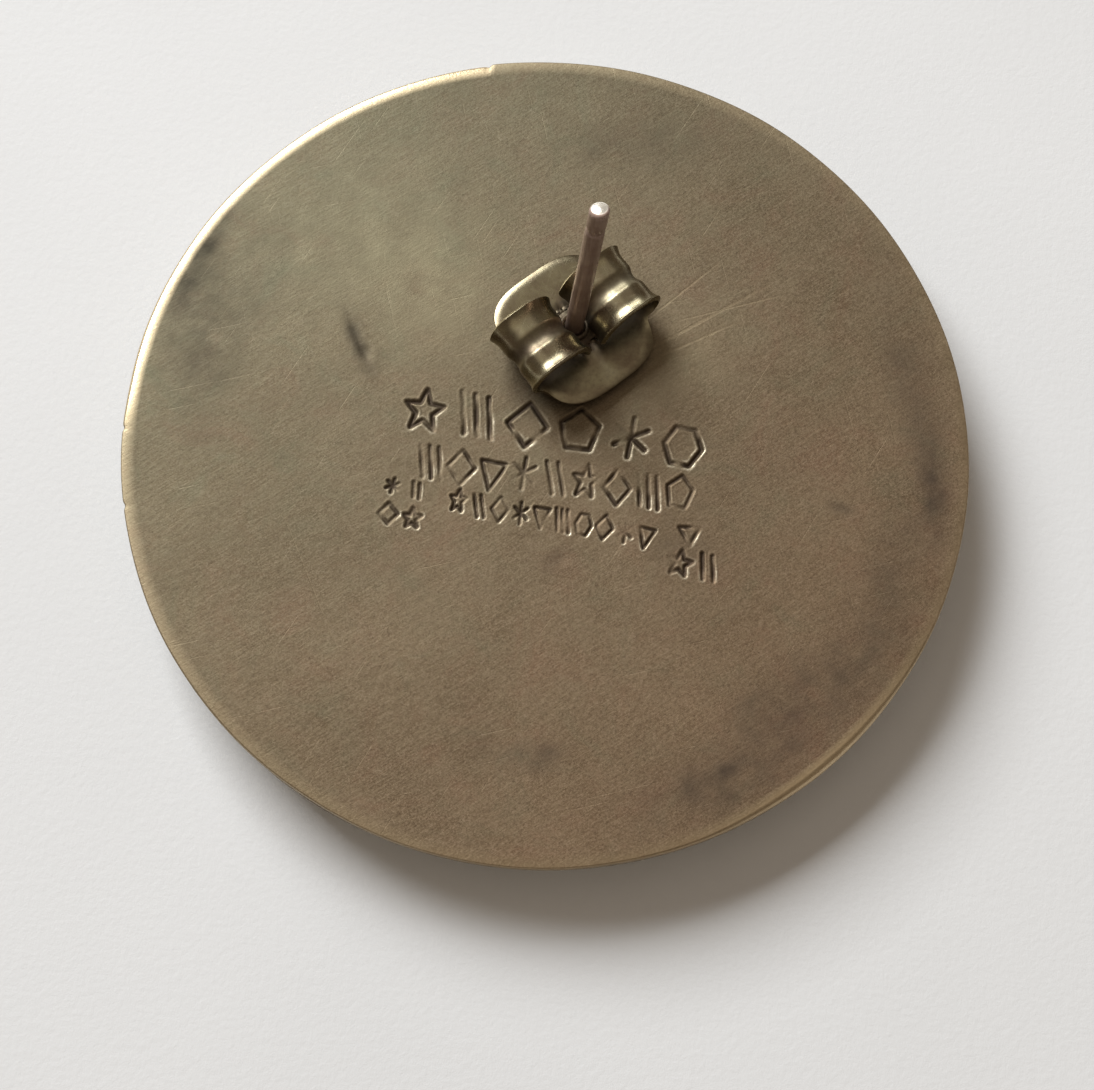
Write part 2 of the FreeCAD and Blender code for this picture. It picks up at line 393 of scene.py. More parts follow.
def plate_relief(x, y):
    """Height, dirt, stain, painted sheen and lip glint layers over the plate's top."""
    height, grime_and_shade, lip_polish_and_glint = punched(x, y)
    height += 0.010 * waves(x, y, 3, 14, 22.0, 7.0)
    height += 0.0022 * waves(x, y, 4, 26, 4.0, 1.1)
    edge_noise = 1 + 0.35 * waves(x, y, 5, 18, 5.0, 0.8)
    for cx, cy, long, short, heading, depth in DENTS:
        height -= blob(x, y, (cx, cy, long, short, heading, depth))
        height += 0.22 * blob(x, y, (cx + 0.1, cy - 0.12, long * 1.3, short * 2.2, heading, depth))
    stain = sum(blob(x, y, patch) for patch in STAINS) * np.clip(edge_noise, 0.2, 1.8)
    painted_sheen = sum(blob(x, y, patch) for patch in PAINTED_SHEEN_PATCHES) * np.clip(2 - edge_noise, 0.3, 1.6)
    radius = np.hypot(x, y)
    return height * (1 - smoothstep(DISC_R - 1.0, DISC_R - 0.4, radius)), grime_and_shade, stain, painted_sheen, lip_polish_and_glint


def rim_shape(angles):
    """The filed rim at each heading: bevel share, lower-right band share, rounding and outer radius."""
    degrees = np.degrees(angles) % 360
    bevel = smoothstep(*BEVEL_FADES_IN, degrees) * (1 - smoothstep(*BEVEL_FADES_OUT, degrees))
    reflection_patch = np.exp(-((degrees - LOWER_RIGHT_BAND_HEADING) / LOWER_RIGHT_BAND_SPREAD) ** 2)
    rounding = RIM_ROUNDING + (BEVEL_WIDTH - RIM_ROUNDING) * bevel + LOWER_RIGHT_BAND_WIDTH * reflection_patch
    rounding = rounding + 0.012 * np.sin(angles * 5 + 1.0)
    nick = np.zeros(len(angles))
    for at, width in NICKS:
        nick += np.exp(-(np.angle(np.exp(1j * (angles - math.radians(at)))) / width) ** 2)
    wobble = 0.012 * np.sin(angles * 7 + 0.4) + 0.008 * np.sin(angles * 17 + 2.0)
    return bevel, reflection_patch, rounding, DISC_R - RIM_INSET + wobble - NICK_DEPTH * nick


def rim_rows(angles, bevel, rounding, outer):
    """Rows of points over the rounded rim and down the plate's wall."""
    rows = []
    thickness = PLATE_TOP - PLATE_BOTTOM
    for turn in np.linspace(0, math.pi / 2, 9)[1:]:
        radius = outer - rounding + rounding * math.sin(turn)
        drop = np.minimum(rounding * (1 + 0.5 * bevel), thickness * 0.72) * (1 - math.cos(turn))
        rows.append((radius * np.cos(angles), radius * np.sin(angles), PLATE_TOP - PLATE_SINK - drop))
    for inset, rise in ((0.0, 0.10), (0.05, 0.02), (0.12, 0.0)):
        radius = outer - inset
        height = np.full(len(angles), PLATE_BOTTOM + rise)
        rows.append((radius * np.cos(angles), radius * np.sin(angles), height))
    return rows


def back_plate():
    """The back sheet: a fine square block round the marks inside coarser rings, over a filed rim."""
    across = np.concatenate([np.linspace(-9.0, -6.75, 26)[:-1], np.linspace(-6.75, 7.5, 300)])
    up = np.concatenate([np.linspace(-5.5, 2.1, 162)[:-1], np.linspace(2.1, 5.1, 34)])
    nx, ny = len(across), len(up)
    gx, gy = np.meshgrid(across, up)
    xs, ys = gx.ravel(), gy.ravel()
    faces = []
    for j in range(ny - 1):
        base = j * nx
        faces += [(base + i, base + i + 1, base + nx + i + 1, base + nx + i) for i in range(nx - 1)]
    border = list(range(nx))
    border += [j * nx + nx - 1 for j in range(1, ny)]
    border += [(ny - 1) * nx + i for i in range(nx - 2, -1, -1)]
    border += [j * nx for j in range(ny - 2, 0, -1)]
    bx, by = xs[border], ys[border]
    angles = np.arctan2(by, bx)
    count = len(border)
    # Rows of points from the block out to where the rounding starts.
    shares = np.linspace(0, 1, 19)[1:] ** 0.9
    flat_r = DISC_R - 0.6
    rows_x = [bx + (flat_r * np.cos(angles) - bx) * share for share in shares]
    rows_y = [by + (flat_r * np.sin(angles) - by) * share for share in shares]
    xs = np.concatenate([xs, *rows_x])
    ys = np.concatenate([ys, *rows_y])
    height, grime_and_shade, stain, painted_sheen, lip_polish_and_glint = plate_relief(xs, ys)
    top_z = PLATE_TOP - PLATE_SINK + height
    bevel, reflection_patch, rounding, outer = rim_shape(angles)
    rim_x, rim_y, rim_z = zip(*rim_rows(angles, bevel, rounding, outer))
    rim_count = count * len(rim_x)
    px = np.concatenate([xs, *rim_x])
    py = np.concatenate([ys, *rim_y])
    pz = np.concatenate([top_z, *rim_z])
    first_ring = nx * ny
    rows = len(shares) + len(rim_x)
    for i in range(count):
        j = (i + 1) % count
        faces.append((border[j], border[i], first_ring + i, first_ring + j))
    for row in range(rows - 1):
        base = first_ring + row * count
        faces += [(base + (i + 1) % count, base + i, base + count + i, base + count + (i + 1) % count)
                  for i in range(count)]
    points = np.stack([px, py, pz], -1).tolist()
    cap(points, faces, first_ring + (rows - 1) * count, count, (0.0, 0.0, PLATE_BOTTOM), True)
    zeros = [0.0] * (rim_count + 1)
    # The rim is painted lighter all round, and most in the bevel and the lower-right band: filed silver, and
    # painted reflection of the window and the lit paper.
    rim_polish_and_reflection = np.tile(0.3 + 0.7 * np.maximum(bevel, 0.7 * reflection_patch), len(rim_x))
    layers = {
        "grime_and_shade": [*grime_and_shade, *zeros],
        "stain": [*stain, *zeros],
        "painted_sheen": [*painted_sheen, *zeros],
        "lip_polish_and_glint": [*lip_polish_and_glint, *zeros],
        "rim": [*([0.0] * len(xs)), *rim_polish_and_reflection, 0.0],
    }
    return new_piece("back_plate_sheet", points, faces, "earring", ["back_plate"], layers)


# ---- The front shell and its solder --------------------------------------------------------------

def front_dome():
    """The domed front, apex down: an outer and an inner skin joined at the filed rim."""
    sphere = (DISC_R ** 2 + DOME_RISE ** 2) / (2 * DOME_RISE)
    rim = DISC_R - 0.03
    count = 288
    outer = [(rim * s, sphere - math.sqrt(sphere ** 2 - (rim * s) ** 2)) for s in np.linspace(0.02, 1, 70)]
    inner_sphere = sphere - SHELL_T
    inner_rim = math.sqrt(inner_sphere ** 2 - (sphere - DOME_RISE) ** 2)
    inner = [(inner_rim * s, sphere - math.sqrt(inner_sphere ** 2 - (inner_rim * s) ** 2))
             for s in np.linspace(1, 0.05, 16)]
    profile = outer + inner
    points, faces = lathe(profile, count)
    grid = np.array(points)
    is_outer = np.arange(len(grid)) < len(outer) * count
    ripple = np.clip(0.006 * waves(grid[:, 0], grid[:, 1], 21, 20, 9.0, 3.0), -0.02, 0.02)
    fade = 1 - smoothstep(DISC_R - 2.0, DISC_R - 0.3, np.hypot(grid[:, 0], grid[:, 1]))
    grid[:, 2] += (ripple + 0.02) * fade * is_outer
    points = grid.tolist()
    cap(points, faces, 0, count, (0.0, 0.0, 0.012), True)
    cap(points, faces, (len(profile) - 1) * count, count, (0.0, 0.0, SHELL_T), False)
    return new_piece("front_dome", points, faces, "earring", ["front_shell"])


def rim_solder():
    """The fine bead of solder that shows as a line between plate and dome."""
    count = 360
    rows = []
    for i in range(10):
        turn = 2 * math.pi * i / 10
        radius = DISC_R - SEAM_INSET + SEAM_HALF_WIDTH * math.cos(turn)
        rows.append((radius, DOME_RISE + 0.03 + SEAM_HALF_HEIGHT * math.sin(turn)))
    points, faces = lathe(rows, count)
    faces = close_loop(faces, len(rows), count)
    grid = np.array(points)
    angles = np.arctan2(grid[:, 1], grid[:, 0])
    swell = 1 + 0.0009 * np.sin(angles * 23) + 0.0008 * np.sin(angles * 41 + 1)
    grid[:, 0] *= swell
    grid[:, 1] *= swell
    return new_piece("rim_solder_bead", grid.tolist(), faces, "earring", ["rim_solder"])


# ---- The ear post --------------------------------------------------------------------------------

def on_post(points):
    """From the post's own frame, +Z along the wire, to the earring's."""
    turn = Vector((0, 0, 1)).rotation_difference(POST_AXIS).to_matrix().to_4x4()
    placed = Matrix.Translation(POST_FOOT) @ turn
    return [tuple(placed @ Vector(p)) for p in points]


def post_wire():
    """A drawn wire with a rounded tip and a notch ring."""
    count = 72
    profile = []
    for z in np.linspace(-0.01, POST_LENGTH - 0.3, 150):
        notch = math.exp(-((z - (POST_LENGTH - GROOVE_BELOW_TIP)) / GROOVE_HALF_LENGTH) ** 2)
        scar = sum(depth * math.exp(-((z - at) / half) ** 2) for at, depth, half in SCARS)
        profile.append((WIRE_R - GROOVE_DEPTH * notch - scar, z))
    edge = TIP_EDGE_ROUNDING
    shoulder = POST_LENGTH - TIP_ALLOWANCE
    for turn in np.linspace(0, math.pi / 2, 9):
        profile.append((WIRE_R - edge * (1 - math.cos(turn)), shoulder - edge * (1 - math.sin(turn))))
    for share in (0.75, 0.5, 0.25):
        profile.append(((WIRE_R - edge) * share, shoulder + TIP_CROWN * (1 - share ** 2)))
    points, faces = lathe(profile, count)
    cap(points, faces, 0, count, (0.0, 0.0, -0.01), True)
    cap(points, faces, (len(profile) - 1) * count, count, (0.0, 0.0, shoulder + TIP_CROWN), False)
    grid = np.array(points)
    sideways = grid[:, 0] * math.cos(TIP_CUT_HEADING) + grid[:, 1] * math.sin(TIP_CUT_HEADING)
    grid[:, 2] -= TIP_CUT_SLOPE * sideways * smoothstep(POST_LENGTH - 0.6, POST_LENGTH - 0.2, grid[:, 2])
    points = grid.tolist()
    return new_piece("post_wire", on_post(points), faces, "earring", ["ear_post"])


def post_fillet():
    """The concave, slightly lumpy collar of solder at the post's foot."""
    count = 96
    profile = []
    for turn in np.linspace(0, math.pi / 2, 14):
        radius = POST_R + FILLET_GAP + FILLET_SPREAD * (1 - math.sin(turn))
        profile.append((radius, FILLET_HEIGHT * (1 - math.cos(turn)) - 0.01))
    profile.append((POST_R - FILLET_GAP, FILLET_HEIGHT - 0.01))
    profile.append((POST_R - FILLET_GAP, -0.02))
    points, faces = lathe(profile, count)
    faces = close_loop(faces, len(profile), count)
    grid = np.array(points)
    angles = np.arctan2(grid[:, 1], grid[:, 0])
    lumps = 1 + 0.04 * np.sin(angles * 3 + 0.5) + 0.025 * np.sin(angles * 7)
    spread = np.hypot(grid[:, 0], grid[:, 1]) > POST_R + 0.08
    grid[:, 0] = np.where(spread, grid[:, 0] * (lumps - 0.06), grid[:, 0])
    grid[:, 1] = np.where(spread, grid[:, 1] * (lumps - 0.06), grid[:, 1])
    grid += np.array([POST_FOOT.x, POST_FOOT.y, PLATE_TOP - 0.02])
    return new_piece("post_fillet", grid.tolist(), faces, "earring", ["post_solder"])


# ---- The butterfly nut ---------------------------------------------------------------------------

def wing_line():
    """The bend line of a wing: its lower and upper heights, where it bends, and the two bend radii."""
    half = NUT_SHEET / 2
    high = WING_TOP - half
    outer = (high - WING_LOW) / 2
    bend_start = WING_REACH - half - outer
    top_end = bend_start - WING_FLAT_TOP
    inner = top_end - (WING_END_GAP + half)
    return WING_LOW, high, outer, bend_start, top_end, inner


def bend(s):
    """Where a point s along the flat strip goes: (along, up) and its inward normal.

    The stretches are the flat base, the outer half circle, the flat top, the inner bend and the end.
    """
    low, high, outer, bend_start, top_end, inner = wing_line()
    if s <= bend_start:
        return s, low, 0.0, 1.0
    s -= bend_start
    if s <= math.pi * outer:
        turn = s / outer
        return (bend_start + outer * math.sin(turn), low + outer * (1 - math.cos(turn)),
                -math.sin(turn), math.cos(turn))
    s -= math.pi * outer
    if s <= WING_FLAT_TOP:
        return bend_start - s, high, 0.0, -1.0
    s -= WING_FLAT_TOP
    if s <= math.pi / 2 * inner:
        turn = s / inner
        return (top_end - inner * math.sin(turn), high - inner * (1 - math.cos(turn)),
                math.sin(turn), -math.cos(turn))
    s -= math.pi / 2 * inner
    return top_end - inner, high - inner - s, 1.0, 0.0


def strip_length():
    """Length of the flat strip from the nut's middle to a wing's end."""
    _, _, outer, bend_start, _, inner = wing_line()
    return bend_start + math.pi * outer + WING_FLAT_TOP + math.pi / 2 * inner + WING_END_DROP


def half_width(s):
    """Half the blank's width s from its middle: the oval base, then the narrower wing."""
    share = min(abs(s) / NUT_BLANK_HALF_LENGTH, 1.0)
    base = NUT_BASE_HALF_WIDTH * (1 - share ** OVAL) ** (1 / OVAL)
    end = strip_length() - abs(s)
    trim = 0.0
    if end < WING_CORNER:
        trim = WING_CORNER - math.sqrt(max(WING_CORNER ** 2 - (WING_CORNER - end) ** 2, 0))
    return max(base, WING_HALF_WIDTH - trim)


def nut_point(s, across):
    """A point of the nut's middle surface, in the nut's own frame."""
    side = 1 if s >= 0 else -1
    along, up, normal_a, normal_z = bend(abs(s))
    grown = float(smoothstep(1.9, 4.2, abs(s)))
    to_edge = max(abs(across) / WING_HALF_WIDTH - 0.62, 0.0) / 0.38
    depth = WING_FLARE * grown * (1 - min(to_edge, 1.0) ** 2)
    if abs(across) < FLUTE_HALF_WIDTH:
        depth += (FLUTE_DEPTH - WING_FLARE) * grown * (1 - (across / FLUTE_HALF_WIDTH) ** 2)
    share = abs(s) / NUT_BLANK_HALF_LENGTH
    rim = (share ** OVAL + abs(across / NUT_BASE_HALF_WIDTH) ** OVAL) ** (1 / OVAL)
    within = 1 - smoothstep(WING_HALF_WIDTH, WING_HALF_WIDTH + 0.35, abs(across))
    on_wing = float(smoothstep(0.9, 1.7, abs(s)) * within)
    drop = NUT_BASE_DROP * min(max((rim - 0.89) / 0.11, 0.0), 1.0) ** 2 * (1 - on_wing)
    return side * (along + normal_a * depth), across, up + normal_z * depth - drop


def butterfly_nut():
    """The one-piece sheet nut: a square-holed grid of the blank, bent to shape, with a drawn collar."""
    hole = COLLAR_BLOCK
    base_end = NUT_BASE_HALF_LENGTH + 0.15
    inner_s = list(np.linspace(-hole, hole, 13))
    outer_s = list(np.linspace(hole, base_end, 15))[1:]
    outer_s += list(np.linspace(base_end, strip_length(), 74))[1:]
    stations = [-s for s in reversed(outer_s)] + inner_s + outer_s
    # Columns up to the block's edge are in millimetres; those past 1 are shares of the rest of the width.
    near = list(np.linspace(0, hole, 13))
    far = [0.16, 0.32, 0.46, 0.58, 0.69, 0.78, 0.86, 0.93, 0.975, 1.0]
    columns = [-1 - f for f in reversed(far)] + [-c for c in reversed(near[1:])]
    columns += near + [1 + f for f in far]
    points, index = [], {}
    for i, s in enumerate(stations):
        width = half_width(s)
        for j, c in enumerate(columns):
            if abs(c) <= hole:
                across = c
            else:
                across = math.copysign(hole + (width - hole) * (abs(c) - 1), c)
            index[i, j] = len(points)
            points.append(nut_point(s, across))
    s_in = [i for i, s in enumerate(stations) if abs(s) <= hole + 1e-6]
    c_in = [j for j, c in enumerate(columns) if abs(c) <= hole + 1e-6]
    faces = []
    for i in range(len(stations) - 1):
        for j in range(len(columns) - 1):
            if s_in[0] <= i < s_in[-1] and c_in[0] <= j < c_in[-1]:
                continue
            faces.append((index[i, j], index[i + 1, j], index[i + 1, j + 1], index[i, j + 1]))
    border = [index[i, c_in[0]] for i in s_in]
    border += [index[s_in[-1], j] for j in c_in[1:]]
    border += [index[i, c_in[-1]] for i in reversed(s_in[:-1])]
    border += [index[s_in[0], j] for j in reversed(c_in[1:-1])]
    count = len(border)
    wall = NUT_BORE_R + NUT_SHEET / 2
    previous = border
    for outside, height in COLLAR_ROWS:
        radius = wall + outside
        ring = []
        for k in border:
            x, y, _ = points[k]
            a = math.atan2(y, x)
            ring.append(len(points))
            points.append((radius * math.cos(a), radius * math.sin(a), height))
        for i in range(count):
            j = (i + 1) % count
            faces.append((previous[j], previous[i], ring[i], ring[j]))
        previous = ring
    cosine, sine = math.cos(NUT_TURN), math.sin(NUT_TURN)
    turned = [(x * cosine - y * sine, x * sine + y * cosine, z + NUT_HEIGHT) for x, y, z in points]
    piece = new_piece("butterfly_nut", on_post(turned), faces, "nut", ["ear_nut"])
    thicken = piece.modifiers.new("sheet", "SOLIDIFY")
    thicken.thickness = NUT_SHEET * MM
    thicken.offset = 0
    thicken.use_even_offset = False
    smooth = piece.modifiers.new("smooth", "SUBSURF")
    smooth.levels = 1
    smooth.render_levels = 1
    apply_modifiers(piece)
    gather_shade_and_grime(piece)
    return piece


def gather_shade_and_grime(piece):
    """Mark painted shade with some dirt: round the collar, inside the scrolls, in the grooves to damp their
    highlight, and on the near base where the wings' shadow falls.
    """
    count = len(piece.data.vertices)
    flat = np.empty(count * 3)
    piece.data.vertices.foreach_get("co", flat)
    places = flat.reshape(-1, 3) / MM - np.array(POST_FOOT)
    piece.data.vertices.foreach_get("normal", flat)
    normals = flat.reshape(-1, 3)
    axis = np.array(POST_AXIS)
    up = places @ axis
    radius = np.linalg.norm(places - np.outer(up, axis), axis=1)
    low, high, _, bend_start, _, _ = wing_line()
    heading = np.array([math.cos(NUT_TURN), math.sin(NUT_TURN), 0.0])
    along = places @ heading
    to_core = np.outer(np.sign(along) * bend_start * 0.75 - along, heading)
    to_core += np.outer(NUT_HEIGHT + (low + high) / 2 - up, axis)
    to_core /= np.maximum(np.linalg.norm(to_core, axis=1), 1e-6)[:, None]
    across = places @ np.array([-heading[1], heading[0], 0.0])
    covered = 1 - smoothstep(WING_HALF_WIDTH - 0.3, WING_HALF_WIDTH + 0.1, np.abs(across))
    # Painted shade: inside the scrolls, round the collar under the post and wings, along the grooves to damp
    # their highlight, and a painted shadow of the wings on the near base.
    inside = smoothstep(0.1, 0.6, (normals * to_core).sum(axis=1)) * covered
    middle = (1 - smoothstep(0.75, 1.7, radius)) * (1 - smoothstep(1.3, 2.1, up))
    groove_shade = np.exp(-(across / 0.34) ** 2) * smoothstep(0.9, 1.5, up) * 0.75
    painted_wing_shadow = (1 - smoothstep(0.5, 0.8, up)) * smoothstep(0.2, 1.6, -across) * 0.35
    hidden = np.maximum.reduce([inside * 0.85, middle, groove_shade, painted_wing_shadow])
    layer = piece.data.attributes.new("grime_and_shade", "FLOAT", "POINT")
    layer.data.foreach_set("value", hidden.astype(np.float32))


def apply_modifiers(piece):
    """Bake a piece's modifiers into its mesh."""
    bpy.context.view_layer.update()
    shaped = piece.evaluated_get(bpy.context.evaluated_depsgraph_get())
    mesh = bpy.data.meshes.new_from_object(shaped)
    piece.modifiers.clear()
    piece.data = mesh
    mesh.polygons.foreach_set("use_smooth", [True] * len(mesh.polygons))


# ---- Materials -----------------------------------------------------------------------------------

class Recipe:
    """Shorthand for building one procedural metal."""

    def __init__(self, name):
        self.material = bpy.data.materials.new(name)
        self.material.use_nodes = True
        self.tree = self.material.node_tree
        self.tree.nodes.clear()
        self.shader = self.add("ShaderNodeBsdfPrincipled")
        output = self.add("ShaderNodeOutputMaterial")
        self.tree.links.new(self.shader.outputs[0], output.inputs[0])
        place = self.add("ShaderNodeTexCoord")
        self.place = self.vector("SCALE", place.outputs["Object"], scale=1 / MM)

    def add(self, kind, **settings):
        node = self.tree.nodes.new(kind)
        for key, value in settings.items():
            setattr(node, key, value)
        return node

    def feed(self, socket, value):
        if isinstance(value, bpy.types.NodeSocket):
            self.tree.links.new(value, socket)
        elif value is not None:
            socket.default_value = value

    def vector(self, operation, a, b=None, scale=None):
        node = self.add("ShaderNodeVectorMath", operation=operation)
        self.feed(node.inputs[0], a)
        self.feed(node.inputs[1], b)
        if scale is not None:
            node.inputs["Scale"].default_value = scale
        return node.outputs[0]

    def math(self, operation, a, b=None, clamp=False):
        node = self.add("ShaderNodeMath", operation=operation, use_clamp=clamp)
        self.feed(node.inputs[0], a)
        self.feed(node.inputs[1], b)
        return node.outputs[0]

    def noise(self, scale, detail=4.0, rough=0.55, at=None, distort=0.0):
        """Noise with features about 1/scale millimetres long."""
        node = self.add("ShaderNodeTexNoise")
        self.feed(node.inputs["Vector"], self.place if at is None else at)
        node.inputs["Scale"].default_value = scale
        node.inputs["Detail"].default_value = detail
        node.inputs["Roughness"].default_value = rough
        node.inputs["Distortion"].default_value = distort
        return node.outputs["Fac"]

    def stretch(self, degrees, along, across):
        """The place turned about Z and scaled unevenly, for streaks."""
        node = self.add("ShaderNodeMapping", vector_type="TEXTURE")
        node.inputs["Rotation"].default_value = (0, 0, math.radians(degrees))
        node.inputs["Scale"].default_value = (1 / along, 1 / across, 1 / across)
        self.feed(node.inputs["Vector"], self.place)
        return node.outputs[0]

    def range(self, value, low, high, to_low=0.0, to_high=1.0):
        node = self.add("ShaderNodeMapRange")
        self.feed(node.inputs["Value"], value)
        node.inputs["From Min"].default_value = low
        node.inputs["From Max"].default_value = high
        node.inputs["To Min"].default_value = to_low
        node.inputs["To Max"].default_value = to_high
        return node.outputs[0]

    def mix(self, share, a, b, kind="MIX"):
        node = self.add("ShaderNodeMix", data_type="RGBA", blend_type=kind)
        self.feed(node.inputs["Factor"], share)
        self.feed(node.inputs["A"], self.colour(a))
        self.feed(node.inputs["B"], self.colour(b))
        return node.outputs["Result"]

    def colour(self, value):
        return (*value, 1.0) if isinstance(value, tuple) and len(value) == 3 else value

    def layer(self, name):
        return self.add("ShaderNodeAttribute", attribute_name=name).outputs["Fac"]

    def bump(self, height, distance, after=None):
        node = self.add("ShaderNodeBump")
        node.inputs["Strength"].default_value = 1.0
        node.inputs["Distance"].default_value = distance * MM
        self.feed(node.inputs["Height"], height)
        if after is not None:
            self.feed(node.inputs["Normal"], after)
        return node.outputs[0]

    def streaks(self, angles, fine, low, high):
        """Thin hairline scratches in several directions, 1 on a scratch."""
        total = None
        for i, degrees in enumerate(angles):
            line = self.noise(1.0, 2.0, 0.5, at=self.stretch(degrees, 0.22, fine * (1 + 0.13 * i)))
            line = self.range(line, low, high)
            total = line if total is None else self.math("MAXIMUM", total, line)
        return total

    def line(self, start, end, half_width):
        """One straight scratch between two places on the disc, 1 in its middle and fading at both ends."""
        direction = Vector((end[0] - start[0], end[1] - start[1], 0))
        length = direction.length
        direction.normalize()
        away = self.vector("SUBTRACT", self.place, (start[0], start[1], 0))
        along = self.dot(away, tuple(direction))
        across = self.math("ABSOLUTE", self.dot(away, (-direction.y, direction.x, 0)))
        body = self.range(across, half_width, 0.3 * half_width)
        begins = self.range(along, 0, 0.3 * length)
        stops = self.range(along, length, 0.7 * length)
        return self.math("MULTIPLY", body, self.math("MULTIPLY", begins, stops))

    def dot(self, a, b):
        node = self.add("ShaderNodeVectorMath", operation="DOT_PRODUCT")
        self.feed(node.inputs[0], a)
        self.feed(node.inputs[1], b)
        return node.outputs["Value"]

    def finish(self, colour, roughness, normal, metallic=1.0):
        self.feed(self.shader.inputs["Base Color"], self.colour(colour))
        self.feed(self.shader.inputs["Roughness"], roughness)
        self.feed(self.shader.inputs["Normal"], normal)
        self.shader.inputs["Metallic"].default_value = metallic
        return self.material


def tarnished_back():
    """Satin silver under a warm olive tarnish, darker in stains and punch marks; with painted sheen, a
    painted gradient of light across it, a rim painted lighter and painted glints on the marks' lips.
    """
    r = Recipe("tarnished_back_silver")
    large = r.noise(0.13, 5.0, 0.6, distort=0.6)
    medium = r.noise(0.75, 5.0, 0.62)
    fine = r.noise(5.0, 5.0, 0.7)
    speck = r.noise(13.0, 4.0, 0.75)
    satin = r.noise(1.0, 4.0, 0.7, at=r.stretch(38, 1.6, 14.0))
    colour = r.mix(r.range(large, 0.35, 0.68), (0.160, 0.119, 0.066), (0.212, 0.160, 0.092))
    colour = r.mix(r.range(medium, 0.42, 0.7, 0.0, 0.5), colour, (0.228, 0.180, 0.106))
    cloud = r.noise(0.4, 5.0, 0.65, distort=0.8)
    colour = r.mix(r.range(cloud, 0.52, 0.7, 0.0, 0.45), colour, (0.215, 0.128, 0.076))
    colour = r.mix(r.range(cloud, 0.46, 0.3, 0.0, 0.45), colour, (0.165, 0.158, 0.092))
    colour = r.mix(r.range(fine, 0.35, 0.75, 0.0, 0.45), colour, (0.130, 0.090, 0.056))
    colour = r.mix(r.range(satin, 0.45, 0.75, 0.0, 0.5), colour, (0.300, 0.245, 0.150))
    colour = r.mix(r.range(speck, 0.5, 0.66, 0.0, 0.6), colour, (0.320, 0.250, 0.165))
    colour = r.mix(r.range(speck, 0.47, 0.32, 0.0, 0.6), colour, (0.090, 0.064, 0.042))
    # Painted sheen: the plate is paler where the window's sheen falls.
    colour = r.mix(r.math("MULTIPLY", r.layer("painted_sheen"), 0.5, clamp=True), colour, (0.340, 0.280, 0.165))
    patches = r.math("MULTIPLY", r.layer("stain"), r.range(medium, 0.25, 0.7, 0.55, 1.15), clamp=True)
    colour = r.mix(r.math("MULTIPLY", patches, 0.7), colour, (0.055, 0.044, 0.033))
    # Painted light and reflection: the plate is darker and cooler towards the window, and lighter and warmer
    # away from it.
    towards_window = r.range(r.dot(r.place, (-0.707, 0.707, 0)), -14, 14)
    painted_window_gradient = r.mix(towards_window, (1.15, 1.05, 1.06), (0.86, 0.97, 1.03))
    colour = r.mix(1.0, colour, painted_window_gradient, "MULTIPLY")
    # The rim painted lighter: filed silver and painted reflection.
    colour = r.mix(r.math("MULTIPLY", r.layer("rim"), 0.9), colour, (0.72, 0.57, 0.35))
    hair = r.streaks((18, 63, 107, 151), 9.0, 0.70, 0.76)
    colour = r.mix(r.math("MULTIPLY", hair, 0.09), colour, (0.34, 0.28, 0.19))
    cut = None
    for start, end, width in SCRATCHES:
        line = r.line(start, end, width)
        cut = line if cut is None else r.math("MAXIMUM", cut, line)
    colour = r.mix(r.math("MULTIPLY", cut, 0.15), colour, (0.46, 0.36, 0.22))
    colour = r.mix(r.math("MULTIPLY", r.layer("grime_and_shade"), 0.85), colour, (0.036, 0.023, 0.016))
    # Painted glint on the marks' lips, over their real polish.
    lip_polish_and_glint = r.math("MULTIPLY", r.layer("lip_polish_and_glint"), r.range(fine, 0.3, 0.6), clamp=True)
    colour = r.mix(r.math("MULTIPLY", lip_polish_and_glint, 0.9), colour, (0.78, 0.70, 0.52))
    rough = r.range(medium, 0.3, 0.75, 0.50, 0.62)
    rough = r.math("ADD", rough, r.range(speck, 0.35, 0.65, -0.06, 0.08))
    rough = r.math("ADD", rough, r.math("MULTIPLY", patches, 0.12))
    rough = r.math("SUBTRACT", rough, r.math("MULTIPLY", hair, 0.08))
    rough = r.math("SUBTRACT", rough, r.math("MULTIPLY", r.layer("rim"), 0.26))
    rough = r.math("SUBTRACT", rough, r.math("MULTIPLY", lip_polish_and_glint, 0.25), clamp=True)
    normal = r.bump(speck, 0.004)
    normal = r.bump(satin, 0.006, after=normal)
    normal = r.bump(fine, 0.008, after=normal)
    normal = r.bump(r.math("MULTIPLY", hair, -1.0), 0.002, after=normal)
    normal = r.bump(r.math("MULTIPLY", cut, -1.0), 0.004, after=normal)
    return r.finish(colour, rough, normal, 0.88)


def polished_front():
    """Polished silver of the hidden front, with hairlines and a thin warm film."""
    r = Recipe("polished_front_silver")
    large = r.noise(0.18, 4.0, 0.6, distort=0.4)
    fine = r.noise(3.0, 5.0, 0.65)
    colour = r.mix(r.range(large, 0.35, 0.7), (0.55, 0.5, 0.42), (0.74, 0.71, 0.65))
    colour = r.mix(r.range(fine, 0.5, 0.8, 0.0, 0.35), colour, (0.42, 0.36, 0.28))
    hair = r.streaks((8, 47, 92, 133, 166), 11.0, 0.64, 0.73)
    rough = r.range(fine, 0.3, 0.8, 0.17, 0.3)
    rough = r.math("ADD", rough, r.math("MULTIPLY", hair, 0.16))
    normal = r.bump(fine, 0.004)
    normal = r.bump(r.math("MULTIPLY", hair, -1.0), 0.0035, after=normal)
    return r.finish(colour, rough, normal)


